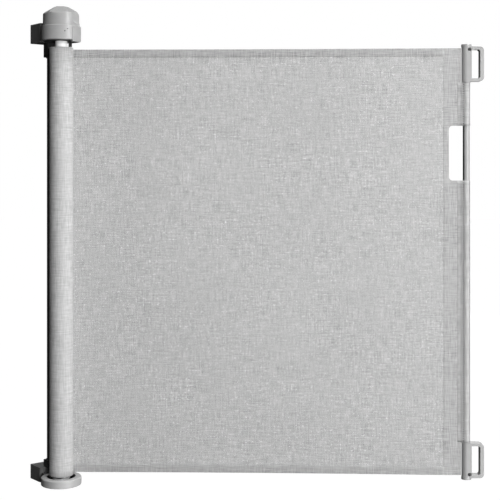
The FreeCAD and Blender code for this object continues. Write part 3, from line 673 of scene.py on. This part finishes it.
def pocket_outline(z, swell, radius):
    """One level ring round the pocket: round the rod, then in along both faces to the neck."""
    sides = 40
    ring = []
    outside = radius > ROD_RADIUS + 0.1 * MM
    for k in range(sides + 1):
        a = -POCKET_TURN + 2 * POCKET_TURN * k / sides
        crease = 0.08 * MM * math.sin(7 * a + 60 * z) + 0.06 * MM * math.sin(3 * a - 95 * z)
        r = radius + (crease + swell if outside else 0.0)
        ring.append(Vector((ROD_X + r * math.cos(a), r * math.sin(a), z)))
    leaves = ROD_X + POCKET_RADIUS * math.cos(POCKET_TURN)
    thin = POCKET_RADIUS - radius
    steps = 7
    for side in (1, -1):
        order = range(1, steps + 1) if side == 1 else range(steps, 0, -1)
        for k in order:
            x = leaves + (POCKET_NECK + 1.5 * thin - leaves) * k / steps
            half = max(pocket_half(x) - thin, 0.1 * MM)
            ring.append(Vector((x, sheet_y(x) * k / steps + side * half, z)))
    return ring


def build_pocket(name, z0, z1):
    """The sheet's pocket round the rod: a shell of cloth that narrows into the two layers of the band."""
    rows = max(4, int((z1 - z0) / (6 * MM)))
    rings = []
    for j in range(rows + 1):
        swell = 0.0 if min(j, rows - j) < 2 else -CUFF
        rings.append(pocket_outline(z0 + (z1 - z0) * j / rows, swell, POCKET_RADIUS))
    inner_rings = [pocket_outline(z, 0.0, ROD_RADIUS + 0.02 * MM) for z in (z0, z1)]
    size = len(rings[0])
    verts = [v for ring in rings + inner_rings for v in ring]
    faces = ring_faces(rings)
    first_inner = size * len(rings)
    last_inner = first_inner + size
    last_outer = size * rows
    for k in range(size):
        nxt = (k + 1) % size
        faces.append((k, nxt, first_inner + nxt, first_inner + k))
        faces.append((last_outer + k, last_outer + nxt, last_inner + nxt, last_inner + k))
        faces.append((first_inner + k, first_inner + nxt, last_inner + nxt, last_inner + k))
    return new_object(name, verts, faces, MESH_POCKET)


SEAM_GAP = 4.4 * MM  # from one stitch of the pocket's seam to the next
SEAM_INSET = 6.4 * MM  # from the rod's middle
SEAM_WIDE = 1.9 * MM
EDGING_TURN = 44  # degrees to the front and to the back of the pocket's right side


def pocket_stitches(name, z0, z1, shift, length, material):
    """One of the two threads of the dotted seam that closes the pocket beside the rod, front and back."""
    x = ROD_X - SEAM_INSET
    frames = []
    for p in spaced((x, 0, z0 + 2 * MM), (x, 0, z1 - 2 * MM), SEAM_GAP):
        for side in (-1, 1):
            out = Vector((-0.6, 0.8 * side, 0))
            place = Vector((x, side * pocket_half(x), p.z + shift)) + out * (0.1 * MM)
            frames.append((place, Vector((0, 0, 1)), out))
    return stitches(name, frames, length, SEAM_WIDE, material)


def pocket_rows(label, z0, z1):
    """All the stitching on one pocket: the seam's dark and white threads, and the outer fold's edging."""
    return [pocket_stitches(label + "_pocket_stitches", z0, z1, 0.0, 2.4 * MM, DARK_THREAD),
            pocket_stitches(label + "_pocket_under_thread", z0, z1, SEAM_GAP / 2, 1.7 * MM, WHITE_THREAD),
            pocket_edging(label + "_pocket_edging", z0, z1)]


def pocket_edging(name, z0, z1):
    """A close dark row along each side of the pocket's outer fold."""
    frames = []
    for p in spaced((0, 0, z0 + 1 * MM), (0, 0, z1 - 1 * MM), SEAM_GAP):
        for turn in (-EDGING_TURN, EDGING_TURN):
            a = math.radians(turn)
            out = Vector((math.cos(a), math.sin(a), 0))
            place = Vector((ROD_X, 0, p.z)) + out * (POCKET_RADIUS - STITCH_SINK)
            frames.append((place, Vector((0, 0, 1)), out))
    return stitches(name, frames, 4.2 * MM, 1.5 * MM, GREY_THREAD)


SHADE_STRIP_TURN = math.radians(46)  # half the strip's width, as a turn round the rod
SHADE_STRIP_GAP = 0.2 * MM  # between the strip and each pocket


def rod_shade_strip(z0, z1):
    """A black strip along the rod's left side, which shows in the hand hole: painted shade on that side."""
    sides = 14
    angles = [math.pi - SHADE_STRIP_TURN + 2 * SHADE_STRIP_TURN * k / sides for k in range(sides + 1)]
    outer = ROD_RADIUS + 0.14 * MM
    inner = ROD_RADIUS - 0.2 * MM
    section = [(outer, a) for a in angles] + [(inner, a) for a in reversed(angles)]
    rings = []
    for z in (z0, z1):
        rings.append([Vector((ROD_X + r * math.cos(a), r * math.sin(a), z)) for r, a in section])
    return solid_from_rings("rod_painted_shade_strip", rings, BLACK_PLASTIC)


# ---- screws and marks ----
def disc_rings(centre, facing, profile, steps=40, arms=0.0):
    """Rings round an axis from (radius, height) pairs; arms pinches them into a cross."""
    up = Vector((0, 0, 1))
    side = up.cross(facing).normalized()
    rings = []
    for radius, height in profile:
        ring = []
        for k in range(steps):
            a = 2 * math.pi * k / steps
            r = radius * (1 - arms + arms * abs(math.cos(2 * a)) ** 6)
            ring.append(centre + side * (math.cos(a) * r) + up * (math.sin(a) * r) + facing * height)
        rings.append(ring)
    return rings


def cross_screw(name, centre, facing, radius):
    """A dark pan-head screw with a cross recess."""
    head = ((1.0, 0.0), (1.0, 0.5), (0.93, 0.95), (0.74, 1.3), (0.5, 1.45))
    rings = disc_rings(centre, facing, [(r * radius, h * MM) for r, h in head])
    recess = ((0.42, 1.45), (0.34, 0.5))
    rings += disc_rings(centre, facing, [(r * radius, h * MM) for r, h in recess], arms=0.65)
    return solid_from_rings(name, rings, BLACK_STEEL)


def index_mark(name, angle, z, radius, height, width):
    """A small oval dash that stands a little proud of a round part and follows its curve."""
    sides = 24
    rings = []
    for depth in (-0.15, 0.12):
        ring = []
        for k in range(sides):
            a = 2 * math.pi * k / sides
            swing = angle + math.cos(a) * width / 2 / radius
            r = radius + depth * MM
            ring.append(Vector((r * math.sin(swing), -r * math.cos(swing), z + math.sin(a) * height / 2)))
        rings.append(ring)
    return solid_from_rings(name, rings, DARK_MARK)


# ---- make the pieces and tie them to the bodies ----
panel = build_panel()
top_hem = build_hem("top_hem", MESH_TOP, -1)
bottom_hem = build_hem("bottom_hem", MESH_BOTTOM, 1)
HEM_PROUD = 0.98 * MM
HEM_SEAM = HEM - 2 * MM  # from the sheet's edge to its row of stitches
hem_row = dict(x0=SHEET_START + 8 * MM, x1=BAND_LEFT - 2 * MM, proud=HEM_PROUD)
top_row = sheet_stitches("top_hem_stitches", MESH_TOP - HEM_SEAM, **hem_row)
bottom_row = sheet_stitches("bottom_hem_stitches", MESH_BOTTOM + HEM_SEAM, **hem_row)
for piece in (panel, top_hem, bottom_hem, top_row, bottom_row):
    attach(piece, "base")
    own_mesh(piece)
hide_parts("mesh_panel")

roll, roll_length = build_roll()
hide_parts("wound_mesh")
roll_rows = [roll_stitches("roll_top_stitches", roll_high.z - HEM_SEAM),
             roll_stitches("roll_bottom_stitches", roll_low.z + HEM_SEAM)]
for piece in [roll] + roll_rows:
    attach(piece, "roll")

band = build_band()
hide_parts("mesh_band")
upper_pocket = build_pocket("upper_pocket", HOLE_TOP, UPPER_CLIP_LOW - POCKET_GAP)
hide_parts("upper_rod_sleeve")
lower_pocket = build_pocket("lower_pocket", LOWER_CLIP_TOP + POCKET_GAP, HOLE_BOTTOM)
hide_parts("lower_rod_sleeve")
band_rows = band_stitch_rows()
upper_seams = pocket_rows("upper", HOLE_TOP, UPPER_CLIP_LOW)
lower_seams = pocket_rows("lower", LOWER_CLIP_TOP, HOLE_BOTTOM)
for piece in [band, upper_pocket, lower_pocket] + band_rows + upper_seams + lower_seams:
    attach(piece, "handle")
# the black strip on the rod's left side is painted shade
shade_strip = rod_shade_strip(HOLE_BOTTOM + SHADE_STRIP_GAP, HOLE_TOP - SHADE_STRIP_GAP)
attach(shade_strip, "handle")

screw_low, screw_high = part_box("clip_screws")
SCREW_INSET = 3 * MM  # from the end of the two screws' box to a screw's middle
SCREW_TURN = math.radians(-64)  # which way the screws face: from +X, towards the front
SCREW_FACING = Vector((math.cos(SCREW_TURN), math.sin(SCREW_TURN), 0))
SCREW_SEAT = 8.82 * MM  # from the rod's middle to the underside of the head
SCREW_HEAD_RADIUS = 2.9 * MM
screws = []
for label, z in (("upper_clip_screw", screw_high.z - SCREW_INSET),
                 ("lower_clip_screw", screw_low.z + SCREW_INSET)):
    seat = Vector((ROD_X, 0, z)) + SCREW_FACING * SCREW_SEAT
    screws.append(cross_screw(label, seat, SCREW_FACING, SCREW_HEAD_RADIUS))
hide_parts("clip_screws")
for piece in screws:
    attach(piece, "handle")

HOUSING_RADIUS = 38.6 * MM
COLLAR_RADIUS = 12.2 * MM
HOUSING_MARKS = ((20, 12.8, 2.6, 2.2), (28, 8.7, 1.8, 3.0))  # degrees from the front, mm down, high, wide
for number, (turn, drop, high, wide) in enumerate(HOUSING_MARKS):
    mark = index_mark("housing_mark_%d" % (number + 1), math.radians(turn), housing_high.z - drop * MM,
                      HOUSING_RADIUS, high * MM, wide * MM)
    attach(mark, "base")
COLLAR_RIDGE_TURN = math.radians(17)  # from the front
collar_ridge_shade = index_mark("painted_shade_on_collar_ridge", COLLAR_RIDGE_TURN, housing_low.z + 6.2 * MM, COLLAR_RADIUS,
                         11 * MM, 0.7 * MM)
# grey plastic on the white collar: a slight raised line, with painted shade along it
collar_ridge_shade.data.materials[0] = GREY_PLASTIC
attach(collar_ridge_shade, "roll")

for piece, rows in ((upper_pocket, upper_seams), (lower_pocket, lower_seams)):
    low, high = piece.bound_box[0], piece.bound_box[6]


# ---- stage, lights and camera ----
def glowing_white(name):
    """A plain white that needs no light: black underneath, with a glow of strength one."""
    return Nodes(name).finish(Base_Color=(0.0, 0.0, 0.0, 1), Roughness=0.9, Emission_Color=(1, 1, 1, 1),
                              Emission_Strength=1.0)


def seen_only_by_camera(obj):
    obj.visible_diffuse = False
    obj.visible_glossy = False
    obj.visible_transmission = False
    obj.visible_shadow = False


def build_stage():
    """A white floor just under the gate and a white sphere all round it."""
    reach = 14.0
    corners = [(-reach, -reach, 0), (reach, -reach, 0), (reach, reach, 0), (-reach, reach, 0)]
    floor = new_object("studio_floor", corners, [(0, 1, 2, 3)], glowing_white("pale_floor"))
    floor.location.z = cad_box[0][2] - 0.5 * MM
    seen_only_by_camera(floor)
    bm = bmesh.new()
    bmesh.ops.create_uvsphere(bm, u_segments=48, v_segments=24, radius=reach)
    mesh = bpy.data.meshes.new("studio_backdrop")
    bm.to_mesh(mesh)
    bm.free()
    backdrop = bpy.data.objects.new("studio_backdrop", mesh)
    mesh.materials.append(glowing_white("white_backdrop"))
    bpy.context.scene.collection.objects.link(backdrop)
    seen_only_by_camera(backdrop)


def area_light(name, place, aim, size, power, seen_in):
    """A rectangular lamp that lights only the kinds of ray named in seen_in."""
    lamp = bpy.data.lights.new(name, "AREA")
    lamp.shape = "RECTANGLE"
    lamp.size, lamp.size_y = size
    lamp.energy = power
    obj = bpy.data.objects.new(name, lamp)
    obj.location = place
    obj.rotation_euler = (Vector(aim) - Vector(place)).to_track_quat("-Z", "Y").to_euler()
    obj.visible_diffuse = "diffuse" in seen_in
    obj.visible_glossy = "glossy" in seen_in
    bpy.context.scene.collection.objects.link(obj)


def build_lights():
    """Broad soft light from the front, the right, above and behind, almost none from the left, and
    narrow strips that show only as reflections."""
    middle = (0.35, 0, 0.5)
    soft = ("diffuse",)
    shine = ("glossy",)
    area_light("front_softbox", (1.7, -4.15, 0.9), middle, (1.2, 2.4), 122, soft)
    area_light("front_right_softbox", (2.6, -2.2, 0.8), middle, (1.6, 2.6), 74, soft)
    area_light("right_softbox", (4.6, -1.0, 0.9), middle, (1.8, 2.4), 32, soft)
    area_light("overhead_softbox", (0.7, -0.5, 5.0), middle, (2.2, 2.2), 190, soft)
    area_light("back_softbox", (1.4, 4.2, 1.4), middle, (2.4, 2.4), 200, soft)
    area_light("tall_strip", (2.0, -1.54, 0.6), (0.0, 0, 0.6), (0.14, 2.6), 80, shine)
    area_light("low_strip", (0.9, -2.2, -0.5), (0.0, 0, 0.85), (1.6, 0.2), 10, shine)
    area_light("back_strip", (1.4, 2.6, 0.9), (0.2, 0, 0.6), (0.5, 2.2), 6, shine)
    world = bpy.data.worlds.new("studio")
    world.use_nodes = True
    background = world.node_tree.nodes["Background"].inputs
    background["Color"].default_value = (1, 1, 1, 1)
    background["Strength"].default_value = 0.02
    bpy.context.scene.world = world


def build_camera():
    """A level camera 2.2 m in front of the rod, with its frame shifted down, to match the photograph."""
    lens = bpy.data.cameras.new("camera")
    lens.lens = 80.5
    lens.sensor_width = 36
    lens.shift_y = -0.144
    camera = bpy.data.objects.new("camera", lens)
    camera.location = (0.3714, -2.2, 0.602)
    camera.rotation_euler = (math.radians(90), 0, 0)
    bpy.context.scene.collection.objects.link(camera)
    bpy.context.scene.camera = camera


build_stage()
build_lights()
build_camera()
bpy.context.scene.view_settings.view_transform = "Standard"
